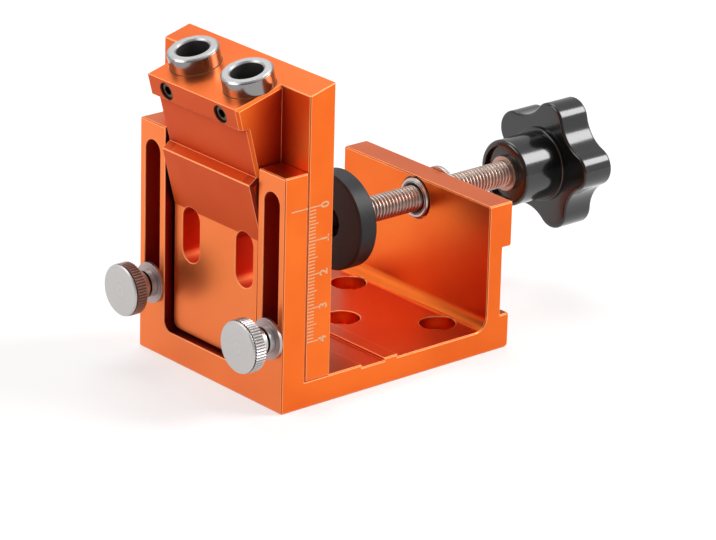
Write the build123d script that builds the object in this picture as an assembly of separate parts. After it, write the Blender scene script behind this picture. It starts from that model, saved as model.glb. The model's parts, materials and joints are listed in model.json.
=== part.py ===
from build123d import *
from math import cos, radians, sin, tan
import os

# Pocket hole jig. Millimetres, +Z up, +Y towards the clamp knob, +X on the scale's side.
# The origin is the centre of the base's underside.

# Base, one U-shaped extrusion
base_width = 65.0
base_depth = 85.0
front_height = 70.0
front_wall = 8.3
back_height = 45.0
back_wall = 8.75
floor_thickness = 8.0
low_floor_thickness = 7.2
groove_start = 29.4
groove_width = 8.25
rib_width = 5.0
inner_fillet = 4.0
heel_radius = 1.2
edge_break = 0.35

# Hand recess along the outside of the back wall
recess_bottom = 10.6
recess_height = 20.8
recess_depth = 3.3

# Window and slots of the front wall
window_width = 42.0
window_lip = 0.6
window_corner = 3.0
leg_slot_width = 6.8
leg_slot_inset = 5.8

# Countersunk screw holes in the floor
floor_hole_radius = 2.75
counterbore_radius = 5.3
counterbore_depth = 4.2
rear_hole_spacing = 40.0
rear_hole_setback = 68.5
centre_hole_setback = 49.2

# Guide block
guide_height = 84.0
guide_thickness = 9.0
guide_travel = 40.0
drill_angle = 15.0
drill_spacing = 24.0
drill_ahead = 5.0
channel_radius = 5.0
nose_width = 40.4
nose_corner = 3.0
nose_edge = 0.8
head_ahead = 11.6
head_face_length = 6.5
panel_ahead = 9.35
panel_end = 22.6
ledge_fall = 1.1
wedge_ahead = 12.35
boss_setback = 2.5
chip_slot_width = 7.8
chip_slot_length = 16.7
chip_slot_height = 23.2
chip_slot_depth = 12.5
slide_gap = 0.1

# Drill sleeves and their set screws
sleeve_radius = 7.5
sleeve_bore = 4.75
sleeve_proud = 4.9
sleeve_seat_depth = 22.0
sleeve_edge = 0.6
lead_in = 0.5
set_screw_radius = 2.5
set_screw_length = 3.5
set_screw_depth = 3.5
hex_socket_width = 2.5
hex_socket_depth = 2.0
seat_gap = 0.02

# Lock screws, their washers and their holes
stem_radius = 2.9
lock_screw_height = 13.3
lock_head_radius = 7.76
lock_head_length = 4.2
lock_rim_length = 0.45
lock_relief_length = 0.4
lock_relief = 0.4
knurl_count = 54
knurl_depth = 0.36
neck_radius = 4.0
neck_length = 6.2
neck_groove_radius = 3.2
neck_band = 3.7
neck_groove_width = 0.8
washer_radius = 6.0
washer_thickness = 1.0
washer_gap = 0.05
tip_setback = 1.0
slot_gap = 0.3

# Clamp screw, pad and knob
clamp_height = 38.4
jaw_opening = 25.6
rod_radius = 3.9
rod_reach = 61.0
rod_neck_radius = 2.5
running_gap = 0.05
pad_radius = 14.6
pad_thickness = 6.8
pad_recess_radius = 4.8
pad_recess_depth = 4.0
pad_front_edge = 0.5
pad_rear_edge = 1.0
clip_radius = 4.0
clip_thickness = 0.8
clip_groove_depth = 0.6
clip_mouth = 3.0
neck_tip = 1.0
bearing_gap = 0.1

# Threaded bush in the back wall
bush_radius = 5.0
bush_flange_radius = 7.5
bush_flange_thickness = 1.5
bush_countersink = 0.8
ring_radius = 6.0
ring_thickness = 2.0
ring_proud = 0.9
ring_edge = 0.35
ring_pocket_gap = 0.35

# Star knob
hub_radius = 10.1
hub_length = 13.4
hub_edge = 0.9
hub_recess_radius = 8.4
hub_recess_depth = 1.2
insert_radius = 5.3
insert_length = 14.5
insert_proud = 0.2
collar_radius = 11.3
collar_length = 1.15
star_tip_radius = 20.0
star_valley_radius = 13.94
star_lobe_radius = 6.0
star_lobes = 5
star_turn = 5.8
star_thickness = 11.0
star_front_edge = 0.6
star_rear_edge = 0.9


def from_front(distance):
    """Y of a point at a distance behind the front face of the base."""
    return distance - base_depth / 2


# Places worked out from the sizes above
plate_front = from_front(front_wall + slide_gap)
plate_rear = plate_front + guide_thickness
guide_bottom = floor_thickness + slide_gap
guide_top = guide_bottom + guide_height
lock_x = base_width / 2 - leg_slot_inset
lock_z = guide_bottom + lock_screw_height
pad_front = plate_rear + jaw_opening
pad_rear = pad_front + pad_thickness
hub_front = pad_rear + rod_reach
wall_inside = from_front(base_depth - back_wall)
wall_outside = from_front(base_depth)
rise = tan(radians(drill_angle))
lean_sin = sin(radians(drill_angle))
lean_cos = cos(radians(drill_angle))
foot_y = plate_front - drill_ahead * lean_cos
foot_z = guide_top - drill_ahead * lean_sin


def tilted(behind, depth):
    """Y and Z of a point behind the drill axis and below the sloping top of the guide."""
    y = foot_y + behind * lean_cos + depth * lean_sin
    z = foot_z + behind * lean_sin - depth * lean_cos
    return (y, z)


def depth_at_height(behind, z):
    """Depth below the sloping top where a line parallel to the drill axis reaches a height."""
    return (foot_z + behind * lean_sin - z) / lean_cos


def depth_at_setback(behind, y):
    """Depth below the sloping top where a line parallel to the drill axis reaches a Y."""
    return (y - foot_y - behind * lean_cos) / lean_sin


def across(points, width):
    """A closed outline of Y and Z points, extruded equally to both sides of X = 0."""
    outline = make_face(Polyline([(0, y, z) for y, z in points], close=True))
    return extrude(outline, amount=width / 2, both=True, dir=(1, 0, 0))


def turned(points, axis=Axis.Y):
    """A closed outline of radius and length points, turned about Y or Z."""
    if axis == Axis.Y:
        corners = [(radius, along, 0) for radius, along in points]
    else:
        corners = [(radius, 0, along) for radius, along in points]
    return revolve(make_face(Polyline(corners, close=True)), axis)


def disc_along_y(radius, start, end):
    """A plain round bar along Y."""
    return turned([(0, start), (radius, start), (radius, end), (0, end)])


def near(shape_list, point):
    """The edge or vertex whose centre is nearest to a point."""
    return shape_list.sort_by_distance(Vector(*point))[0]


# Base frame
def base_profile():
    """The section of the extrusion, with its outer corners broken."""
    groove_end = groove_start + groove_width
    rib_end = groove_end + rib_width
    recess_top = recess_bottom + recess_height
    recess_floor = base_depth - recess_depth
    wall_start = base_depth - back_wall
    section = [
        (0, 0),
        (base_depth, 0),
        (base_depth, recess_bottom),
        (recess_floor, recess_bottom),
        (recess_floor, recess_top),
        (base_depth, recess_top),
        (base_depth, back_height),
        (wall_start, back_height),
        (wall_start, low_floor_thickness),
        (rib_end, low_floor_thickness),
        (rib_end, floor_thickness),
        (groove_end, floor_thickness),
        (groove_end, low_floor_thickness),
        (groove_start, low_floor_thickness),
        (groove_start, floor_thickness),
        (front_wall, floor_thickness),
        (front_wall, front_height),
        (0, front_height),
    ]
    points = [(0, from_front(y), z) for y, z in section]
    face = make_face(Polyline(points, close=True))
    inner_corner = near(face.vertices(), points[8])
    face = fillet(inner_corner, inner_fillet)
    heel = near(face.vertices(), points[1])
    face = fillet(heel, heel_radius)
    outer = [points[number] for number in (0, 2, 5, 6, 7, 16, 17)]
    return chamfer([near(face.vertices(), point) for point in outer], edge_break)


def leg_slots():
    """Two upright slots that let the lock screws rise with the guide."""
    low = lock_z - stem_radius - slot_gap + leg_slot_width / 2
    high = lock_z + guide_travel + stem_radius + slot_gap - leg_slot_width / 2
    slot = SlotCenterToCenter(high - low, leg_slot_width, rotation=90)
    middle = (low + high) / 2
    cuts = []
    for side in (-1, 1):
        face = Plane.XZ * Pos(side * lock_x, middle) * slot
        cuts.append(extrude(Pos(0, from_front(front_wall), 0) * face, amount=front_wall, dir=(0, -1, 0)))
    return cuts


def front_window():
    """The open-topped window in the front wall, which the guide's nose fills."""
    bottom = floor_thickness + window_lip
    opening = RectangleRounded(window_width, front_height, window_corner)
    face = Plane.XZ * Pos(0, bottom + front_height / 2) * opening
    return extrude(Pos(0, from_front(front_wall), 0) * face, amount=front_wall, dir=(0, -1, 0))


def floor_hole(x, setback):
    """A screw hole through the floor, with its counterbore."""
    top = low_floor_thickness
    hole = Cylinder(floor_hole_radius, top, align=(Align.CENTER, Align.CENTER, Align.MIN))
    bore = Cylinder(
        counterbore_radius,
        counterbore_depth + inner_fillet,
        align=(Align.CENTER, Align.CENTER, Align.MIN),
    )
    return Pos(x, from_front(setback), 0) * (hole + Pos(0, 0, top - counterbore_depth) * bore)


def bush_hole():
    """The hole for the threaded bush, with a pocket for its ring on the inside."""
    through = disc_along_y(bush_radius + seat_gap, wall_inside, wall_outside)
    pocket_depth = ring_thickness - ring_proud
    pocket = disc_along_y(ring_radius + ring_pocket_gap, wall_inside, wall_inside + pocket_depth)
    return Pos(0, 0, clamp_height) * (through + pocket)


def make_base():
    base = extrude(base_profile(), amount=base_width / 2, both=True, dir=(1, 0, 0))
    half = base_width / 2
    ends = base.faces().filter_by(Axis.X).filter_by(lambda face: abs(abs(face.center().X) - half) < 1e-3)
    base = chamfer(ends.edges(), edge_break)
    base -= front_window()
    base -= leg_slots()
    base -= floor_hole(0, centre_hole_setback)
    for side in (-1, 1):
        base -= floor_hole(side * rear_hole_spacing / 2, rear_hole_setback)
    base -= bush_hole()
    return base


# Guide block
def guide_plate():
    """The tall plate behind the front wall, with its sloping top and broken edges."""
    top_rear = guide_top + guide_thickness * rise
    outline = [
        (plate_front, guide_bottom),
        (plate_rear, guide_bottom),
        (plate_rear, top_rear),
        (plate_front, guide_top),
    ]
    plate = across(outline, base_width)
    upright = plate.edges().filter_by(Axis.Z)
    return chamfer(upright, edge_break)


def guide_nose():
    """The head, the panel, the wedge and the boss that fill the window."""
    root = plate_front + guide_thickness / 2
    head_underside = tilted(-head_ahead, head_face_length)[1]
    boss_y = from_front(boss_setback)
    boss_bottom = guide_bottom + window_lip + slide_gap
    outline = [
        (root, guide_top + guide_thickness / 2 * rise),
        tilted(-head_ahead, 0),
        tilted(-head_ahead, head_face_length),
        tilted(-panel_ahead, depth_at_height(-panel_ahead, head_underside)),
        tilted(-panel_ahead, panel_end),
        tilted(-wedge_ahead, panel_end + ledge_fall),
        tilted(-wedge_ahead, depth_at_setback(-wedge_ahead, boss_y)),
        (boss_y, boss_bottom),
        (root, boss_bottom),
    ]
    nose = across(outline, nose_width)
    low_edges = nose.edges().filter_by(Axis.Y).group_by(Axis.Z)[0]
    nose = fillet(low_edges, nose_corner)
    sides = nose.faces().filter_by(Axis.X)
    outer = sides.edges().filter_by(lambda edge: abs(edge.center().Y - root) > nose_edge)
    return chamfer(outer.filter_by(Axis.Y, reverse=True), nose_edge)


def drill_plane(side):
    """The plane of the sloping top at a drill hole, with its normal along the drill axis."""
    origin = (side * drill_spacing / 2, foot_y, foot_z)
    return Plane(origin=origin, x_dir=(1, 0, 0), z_dir=(0, -lean_sin, lean_cos))


def set_screw_plane(side):
    """The plane of the head's front face at a set screw, with its normal facing out."""
    y, z = tilted(-head_ahead, set_screw_depth)
    origin = (side * drill_spacing / 2, y, z)
    return Plane(origin=origin, x_dir=(1, 0, 0), z_dir=(0, -lean_cos, -lean_sin))


def drill_cuts(side):
    """The sleeve's seat, the long drill channel and the set screw's hole on one side."""
    down = (Align.CENTER, Align.CENTER, Align.MAX)
    seat = Cylinder(sleeve_radius + seat_gap, sleeve_seat_depth, align=down)
    channel = Cylinder(channel_radius, guide_height / lean_cos, align=down)
    screw_hole = Cylinder(set_screw_radius + seat_gap, head_ahead - sleeve_radius + lead_in, align=down)
    return drill_plane(side) * (seat + channel) + set_screw_plane(side) * screw_hole


def chip_slot(side):
    """The round-ended slot in the boss that lets chips fall out of the drill channel."""
    slot = SlotOverall(chip_slot_length, chip_slot_width, rotation=90)
    middle = guide_bottom + chip_slot_height + chip_slot_length / 2
    face = Plane.XZ * Pos(side * drill_spacing / 2, middle) * slot
    start = from_front(boss_setback)
    ahead = wedge_ahead
    return extrude(Pos(0, start - ahead, 0) * face, amount=ahead + chip_slot_depth, dir=(0, 1, 0))


def make_guide():
    guide = guide_plate() + guide_nose()
    for side in (-1, 1):
        guide -= drill_cuts(side)
        guide -= chip_slot(side)
        lock_hole = disc_along_y(stem_radius + running_gap, plate_front, plate_rear)
        guide -= Pos(side * lock_x, 0, lock_z) * lock_hole
    return guide


# Drill sleeves and set screws
def make_sleeve(side):
    """A hardened sleeve, seated in the head and standing proud of its top."""
    bottom = -sleeve_seat_depth
    mouth = sleeve_bore + lead_in
    outline = [
        (sleeve_bore, bottom),
        (sleeve_radius, bottom),
        (sleeve_radius, sleeve_proud - sleeve_edge),
        (sleeve_radius - sleeve_edge, sleeve_proud),
        (mouth, sleeve_proud),
        (sleeve_bore, sleeve_proud - lead_in),
    ]
    return drill_plane(side) * turned(outline, Axis.Z)


def make_set_screw(side):
    """A socket set screw whose flat tip bears on the sleeve."""
    tip = head_ahead - sleeve_radius - seat_gap
    screw = turned(
        [
            (0, -tip),
            (set_screw_radius, -tip),
            (set_screw_radius, set_screw_length - edge_break - tip),
            (set_screw_radius - edge_break, set_screw_length - tip),
            (0, set_screw_length - tip),
        ],
        Axis.Z,
    )
    socket = extrude(RegularPolygon(hex_socket_width / 2, 6, major_radius=False), amount=-hex_socket_depth)
    return set_screw_plane(side) * (screw - Pos(0, 0, set_screw_length - tip) * socket)


# Lock screws
def knurl_outline(radius):
    """A ring of pointed teeth, as a straight knurl cuts them."""
    points = []
    for number in range(2 * knurl_count):
        reach = radius - knurl_depth * (number % 2)
        angle = radians(180 * number / knurl_count)
        points.append((reach * cos(angle), 0, reach * sin(angle)))
    return make_face(Polyline(points, close=True))


def make_lock_screw(side):
    """A knurled thumb screw: rim, relief, knurl, grooved neck and stem."""
    shoulder = from_front(0) - washer_thickness - 2 * washer_gap
    head_rear = shoulder - neck_length
    head_front = head_rear - lock_head_length
    rim_rear = head_front + lock_rim_length
    relief_rear = rim_rear + lock_relief_length
    rim_radius = lock_head_radius - edge_break / 2
    relief_radius = lock_head_radius - lock_relief
    groove_front = head_rear + neck_band
    groove_rear = groove_front + neck_groove_width
    tip = plate_rear - tip_setback
    body = turned(
        [
            (0, head_front),
            (rim_radius - edge_break, head_front),
            (rim_radius, head_front + edge_break),
            (rim_radius, rim_rear),
            (relief_radius, rim_rear),
            (relief_radius, head_rear),
            (neck_radius, head_rear),
            (neck_radius, groove_front),
            (neck_groove_radius, groove_front),
            (neck_groove_radius, groove_rear),
            (neck_radius, groove_rear),
            (neck_radius, shoulder),
            (stem_radius, shoulder),
            (stem_radius, tip),
            (0, tip),
        ]
    )
    teeth = Pos(0, relief_rear, 0) * knurl_outline(lock_head_radius)
    knurl = extrude(teeth, amount=head_rear - relief_rear, dir=(0, 1, 0))
    return Pos(side * lock_x, 0, lock_z) * (body + knurl)


def make_lock_washer(side):
    """A plain washer between the lock screw and the front wall."""
    hole = stem_radius + slot_gap
    rear = from_front(0) - washer_gap
    front = rear - washer_thickness
    outline = [
        (hole, front),
        (washer_radius, front),
        (washer_radius, rear),
        (hole, rear),
    ]
    return Pos(side * lock_x, 0, lock_z) * turned(outline)


# Threaded bush
def make_bush():
    """A flanged bush, pushed in from outside, with a countersunk mouth."""
    bore = rod_radius + running_gap
    flange_rear = wall_outside + bush_flange_thickness
    inner_end = wall_inside - ring_proud
    outline = [
        (bore, inner_end),
        (bush_radius, inner_end),
        (bush_radius, wall_outside),
        (bush_flange_radius, wall_outside),
        (bush_flange_radius, flange_rear - edge_break),
        (bush_flange_radius - edge_break, flange_rear),
        (bore + bush_countersink, flange_rear),
        (bore, flange_rear - bush_countersink),
    ]
    return Pos(0, 0, clamp_height) * turned(outline)


def make_bush_ring():
    """The ring that locks the bush on the inside of the back wall."""
    front = wall_inside - ring_proud
    rear = front + ring_thickness
    hole = bush_radius + seat_gap
    outline = [
        (hole, front),
        (ring_radius - ring_edge, front),
        (ring_radius, front + ring_edge),
        (ring_radius, rear),
        (hole, rear),
    ]
    return Pos(0, 0, clamp_height) * turned(outline)


# Clamp screw, pad and knob
def make_rod():
    """The clamp screw: clip groove, pad neck, shoulder, shank and the end in the knob."""
    shoulder = pad_rear + bearing_gap
    web_front = pad_front + pad_recess_depth
    groove_rear = web_front - bearing_gap
    groove_front = groove_rear - clip_thickness
    groove_radius = rod_neck_radius - clip_groove_depth
    tip = groove_front - neck_tip
    rear = hub_front - insert_proud + insert_length - edge_break
    outline = [
        (0, tip),
        (rod_neck_radius, tip),
        (rod_neck_radius, groove_front),
        (groove_radius, groove_front),
        (groove_radius, groove_rear),
        (rod_neck_radius, groove_rear),
        (rod_neck_radius, shoulder),
        (rod_radius - edge_break, shoulder),
        (rod_radius, shoulder + edge_break),
        (rod_radius, rear),
        (0, rear),
    ]
    return Pos(0, 0, clamp_height) * turned(outline)


def make_pad():
    """The swivel pad, with a recess in front that holds the clip."""
    bore = rod_neck_radius + running_gap
    web_front = pad_front + pad_recess_depth
    outline = [
        (bore, web_front),
        (pad_recess_radius, web_front),
        (pad_recess_radius, pad_front),
        (pad_radius, pad_front),
        (pad_radius, pad_rear),
        (bore, pad_rear),
    ]
    corners = [(radius, y, 0) for radius, y in outline]
    face = make_face(Polyline(corners, close=True))
    face = chamfer(near(face.vertices(), corners[3]), pad_front_edge)
    face = chamfer(near(face.vertices(), corners[4]), pad_rear_edge)
    return Pos(0, 0, clamp_height) * revolve(face, Axis.Y)


def make_clip():
    """The retaining clip, an open ring in the neck's groove."""
    rear = pad_front + pad_recess_depth - bearing_gap
    inner = rod_neck_radius - clip_groove_depth + seat_gap
    outline = [
        (inner, rear - clip_thickness + seat_gap),
        (clip_radius, rear - clip_thickness + seat_gap),
        (clip_radius, rear - seat_gap),
        (inner, rear - seat_gap),
    ]
    mouth = Box(clip_mouth, pad_recess_depth, clip_radius, align=(Align.CENTER, Align.CENTER, Align.MAX))
    return Pos(0, 0, clamp_height) * (turned(outline) - Pos(0, rear, 0) * mouth)


def star_outline():
    """Round lobes and round valleys that run into each other, five times about the axis."""
    half_step = 180 / star_lobes
    lobe_reach = star_tip_radius - star_lobe_radius
    swing = 2 * lobe_reach * cos(radians(half_step))
    # valley radius for which a lobe arc and a valley arc touch with one tangent
    upper = lobe_reach**2 + star_valley_radius**2 - swing * star_valley_radius - star_lobe_radius**2
    valley_arc = upper / (2 * star_lobe_radius - 2 * star_valley_radius + swing)
    valley_reach = star_valley_radius + valley_arc

    def spot(radius, degrees):
        angle = radians(degrees + star_turn)
        return Vector(radius * cos(angle), 0, radius * sin(angle))

    edges = []
    for number in range(star_lobes):
        middle = 2 * half_step * number
        lobe_centre = spot(lobe_reach, middle)
        share = star_lobe_radius / (star_lobe_radius + valley_arc)
        start = lobe_centre + (spot(valley_reach, middle - half_step) - lobe_centre) * share
        end = lobe_centre + (spot(valley_reach, middle + half_step) - lobe_centre) * share
        next_centre = spot(lobe_reach, middle + 2 * half_step)
        next_start = next_centre + (spot(valley_reach, middle + half_step) - next_centre) * share
        edges.append(ThreePointArc(start, spot(star_tip_radius, middle), end))
        edges.append(ThreePointArc(end, spot(star_valley_radius, middle + half_step), next_start))
    return make_face(edges)


def make_knob():
    """Hub, collar and star in one moulding, hollow for the steel insert."""
    hub_rear = hub_front + hub_length
    star_front = hub_rear + collar_length
    star = extrude(Pos(0, star_front, 0) * star_outline(), amount=star_thickness, dir=(0, 1, 0))
    star = chamfer(star.edges().group_by(Axis.Y)[-1], star_rear_edge)
    star = chamfer(star.edges().group_by(Axis.Y)[0], star_front_edge)
    hole = insert_radius + seat_gap
    hole_end = hub_front - insert_proud + insert_length + seat_gap
    recess_floor = hub_front + hub_recess_depth
    outline = [
        (hole, recess_floor),
        (hub_recess_radius, recess_floor),
        (hub_recess_radius, hub_front),
        (hub_radius, hub_front),
        (hub_radius, hub_rear),
        (collar_radius, hub_rear),
        (collar_radius, star_front + edge_break),
        (hole, star_front + edge_break),
    ]
    corners = [(radius, y, 0) for radius, y in outline]
    face = make_face(Polyline(corners, close=True))
    face = chamfer(near(face.vertices(), corners[3]), hub_edge)
    hub = revolve(face, Axis.Y)
    knob = star + hub - disc_along_y(hole, hub_front, hole_end)
    return Pos(0, 0, clamp_height) * knob


def make_insert():
    """The blind threaded insert that joins the rod to the knob."""
    front = hub_front - insert_proud
    rear = front + insert_length
    hole = rod_radius + seat_gap
    outline = [
        (hole, front),
        (insert_radius, front),
        (insert_radius, rear),
        (hole, rear),
    ]
    return Pos(0, 0, clamp_height) * turned(outline)


nodes = {
    "base_frame": make_base(),
    "guide_block": make_guide(),
    "drill_sleeve_left": make_sleeve(-1),
    "drill_sleeve_right": make_sleeve(1),
    "sleeve_set_screw_left": make_set_screw(-1),
    "sleeve_set_screw_right": make_set_screw(1),
    "lock_screw_left": make_lock_screw(-1),
    "lock_screw_right": make_lock_screw(1),
    "lock_washer_left": make_lock_washer(-1),
    "lock_washer_right": make_lock_washer(1),
    "thread_bush": make_bush(),
    "bush_lock_ring": make_bush_ring(),
    "clamp_rod": make_rod(),
    "clamp_pad": make_pad(),
    "pad_clip": make_clip(),
    "clamp_knob": make_knob(),
    "knob_insert": make_insert(),
}

os.makedirs("parts", exist_ok=True)
for name, solid in nodes.items():
    export_step(solid, f"parts/{name}.step")
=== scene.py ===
import bmesh
import bpy
import json
from math import cos, pi, radians, sin, tau
from mathutils import Matrix, Vector

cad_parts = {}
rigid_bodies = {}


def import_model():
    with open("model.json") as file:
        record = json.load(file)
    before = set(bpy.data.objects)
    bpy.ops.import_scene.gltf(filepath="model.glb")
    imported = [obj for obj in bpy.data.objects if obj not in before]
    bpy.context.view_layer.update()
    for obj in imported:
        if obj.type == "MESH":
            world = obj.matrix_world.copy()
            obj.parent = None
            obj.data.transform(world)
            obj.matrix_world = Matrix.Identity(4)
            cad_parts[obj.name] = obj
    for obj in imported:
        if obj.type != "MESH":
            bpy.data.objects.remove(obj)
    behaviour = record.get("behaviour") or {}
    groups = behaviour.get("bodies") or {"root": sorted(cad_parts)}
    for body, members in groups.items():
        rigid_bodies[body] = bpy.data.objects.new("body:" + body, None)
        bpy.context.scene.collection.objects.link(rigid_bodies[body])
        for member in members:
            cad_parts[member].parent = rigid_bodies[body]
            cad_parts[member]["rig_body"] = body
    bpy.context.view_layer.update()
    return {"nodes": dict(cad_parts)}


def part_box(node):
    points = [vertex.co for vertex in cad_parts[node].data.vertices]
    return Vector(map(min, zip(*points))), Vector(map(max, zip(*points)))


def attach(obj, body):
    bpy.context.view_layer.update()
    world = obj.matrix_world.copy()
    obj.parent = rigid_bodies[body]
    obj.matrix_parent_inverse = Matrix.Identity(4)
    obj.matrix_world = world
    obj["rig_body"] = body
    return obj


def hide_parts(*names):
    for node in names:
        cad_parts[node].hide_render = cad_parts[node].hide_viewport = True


# Pocket hole jig in orange anodised aluminium, with steel drill sleeves, a clamp screw and a black star knob.
# The frame is +X on the scale's side, +Y towards the knob and +Z up, in metres.
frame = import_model()
mm = 0.001
print("frame loaded:", len(frame["nodes"]), "nodes")


# Node helpers
def addNode(tree, kind, sockets=None, **settings):
    # a socket given another node's output is linked, any other value is set
    node = tree.nodes.new(kind)
    for name, value in settings.items():
        setattr(node, name, value)
    for name, value in (sockets or {}).items():
        if isinstance(value, bpy.types.NodeSocket):
            tree.links.new(value, node.inputs[name])
        else:
            node.inputs[name].default_value = value
    return node


def calculate(tree, operation, *values):
    return addNode(tree, "ShaderNodeMath", dict(enumerate(values)), operation=operation).outputs[0]


def times(tree, first, second):
    return calculate(tree, "MULTIPLY", first, second)


def remap(tree, value, start, end, low=0.0, high=1.0, **settings):
    # start to end becomes low to high, and the result holds beyond them
    reach = {"Value": value, "From Min": start, "From Max": end, "To Min": low, "To Max": high}
    return addNode(tree, "ShaderNodeMapRange", reach, **settings).outputs[0]


def combine(tree, x=0.0, y=0.0, z=0.0):
    return addNode(tree, "ShaderNodeCombineXYZ", {"X": x, "Y": y, "Z": z}).outputs[0]


def startMaterial(name, shaderValues):
    material = bpy.data.materials.new(name)
    material.use_nodes = True
    tree = material.node_tree
    tree.nodes.clear()
    shader = addNode(tree, "ShaderNodeBsdfPrincipled", shaderValues)
    addNode(tree, "ShaderNodeOutputMaterial", {"Surface": shader.outputs[0]})
    place = addNode(tree, "ShaderNodeTexCoord").outputs["Object"]
    return material, tree, shader, place


def noise(tree, place, scale, detail=2.0):
    return addNode(tree, "ShaderNodeTexNoise", {"Vector": place, "Scale": scale, "Detail": detail}).outputs[0]


tintSpan = (0.3, 0.7)    # the part of a noise's range over which a tint goes from dark to light


def tintBetween(tree, shader, factor, dark, light):
    ramp = addNode(tree, "ShaderNodeValToRGB", {"Fac": factor})
    for stop, position, tint in zip(ramp.color_ramp.elements, tintSpan, (dark, light)):
        stop.position, stop.color = position, (*tint, 1)
    tree.links.new(ramp.outputs[0], shader.inputs["Base Color"])


def blendTint(tree, shader, factor, tint):
    # the colour so far gives way to another where the factor is 1
    colourNow = shader.inputs["Base Color"].links[0].from_socket
    blend = addNode(tree, "ShaderNodeMix", {0: factor, 6: colourNow, 7: (*tint, 1)}, data_type="RGBA")
    tree.links.new(blend.outputs[2], shader.inputs["Base Color"])


def mark(tree, label):
    # what a piece's faces hold under this label, 0 on a piece without it
    return addNode(tree, "ShaderNodeAttribute", attribute_name=label).outputs["Fac"]


def recess(tree, distance, closed, clear):
    # 1 in a slot or corner of the piece's own form, 0 on its open faces; the materials paint shade by it
    room = addNode(tree, "ShaderNodeAmbientOcclusion", {"Distance": distance}, samples=8, only_local=True)
    return remap(tree, room.outputs["AO"], closed, clear, 1.0, 0.0)


def roughBetween(tree, shader, factor, low, high):
    tree.links.new(remap(tree, factor, 0.0, 1.0, low, high), shader.inputs["Roughness"])


def addRoughness(tree, shader, extra):
    roughNow = shader.inputs["Roughness"].links[0].from_socket
    tree.links.new(calculate(tree, "ADD", roughNow, extra), shader.inputs["Roughness"])


def bumpBy(tree, shader, height, strength, depth):
    bump = addNode(tree, "ShaderNodeBump", {"Height": height, "Strength": strength, "Distance": depth})
    tree.links.new(bump.outputs[0], shader.inputs["Normal"])


def turningMarks(tree, place, centre, tilt=0.0):
    # coordinates for the lathe's lines, the same all round an axis along Y and on both sides of X = 0,
    # then the distance from that axis and the place along it
    x, y, z = addNode(tree, "ShaderNodeSeparateXYZ", {"Vector": place}).outputs
    folded = combine(tree, calculate(tree, "ABSOLUTE", x), y, z)
    turned = addNode(tree, "ShaderNodeVectorRotate", {"Vector": folded, "Center": centre, "Angle": tilt},
                     rotation_type="X_AXIS").outputs[0]
    local = addNode(tree, "ShaderNodeVectorMath", {0: turned, 1: centre}, operation="SUBTRACT").outputs[0]
    x, y, z = addNode(tree, "ShaderNodeSeparateXYZ", {"Vector": local}).outputs
    spoke = addNode(tree, "ShaderNodeVectorMath", {0: combine(tree, x, 0.0, z)}, operation="LENGTH")
    radius = spoke.outputs["Value"]
    return combine(tree, radius, y), radius, y


# Materials
metalBump = 0.01 * mm
plasticBump = 0.02 * mm

anodised = {
    "dark": (0.80, 0.128, 0.010),
    "light": (0.88, 0.165, 0.016),
    "metallic": 1.0,
    "rough": (0.27, 0.36),
    "coat": 0.15,
    "coatRough": 0.45,
    "grain": 5200,              # blasted grain, about 0.2 mm
    "grainBump": 0.25,
    "cloud": 45,                # slow change of the dye
    "recess": (30 * mm, 0.60, 0.97),     # painted shade in recesses: reach, openness where it is deepest, openness where it ends
    "frontPart": (-28 * mm, -18 * mm),   # painted shade darkens the recesses of the front, not the open channel behind
    "innerReach": 16 * mm,      # the chip slots lie nearer the middle than this, the leg slots further out
    # painted shade in recesses: the outer colour for the leg slots, the inner one nearer the middle
    "deepOuter": (0.42, 0.020, 0.004),
    "deepInner": (0.62, 0.060, 0.006),
    # painted shade in the narrow gap beside the window's walls
    "windowGapShade": (0.17, 0.007, 0.003),
    "squareOn": 0.98,           # share of a face's normal along the axis that it faces
    "frontSheen": (1.0, 0.34, 0.13),  # painted sheen on faces square to the front
    "frontSheenShare": 0.3,
    "frontSheenLimit": -37 * mm,
    # painted shade on the floor of the channel
    "channelFloorShade": (0.55, 0.035, 0.002),
    "floorShadeShare": 0.65,
    "floorTop": 9 * mm,
    "underFrom": (-0.06, -0.26),         # how far a face leans over, from none of the painted shade to all of it
    # painted shade on faces that lean over the table
    "underShade": (0.42, 0.015, 0.001),
    "underShare": 0.5,
    "underRough": 0.5,
    "edge": (1.0, 0.46, 0.20),  # painted highlight on the rounded edges
    "edgeShare": 0.75,
    "edgeRough": 0.25,
    "chamferShade": (0.45, 0.09, 0.015),        # painted shade on narrow chamfers
    "chamferShadeShare": 0.7,
    "chamferShadeRough": 0.35,
    # painted shade in the chip slots
    "chipSlotShade": (0.74, 0.034, 0.003),
    "chipSlotShadeShare": 0.85,
    # painted highlight on the round foot of the chip slots
    "glint": (1.0, 0.30, 0.09),
    "glintShare": 0.75,
    # painted shade around the set screws' holes
    "rim": (0.08, 0.014, 0.006),
    "rimShare": 0.9,
    "recessRough": 0.35,
}


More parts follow.
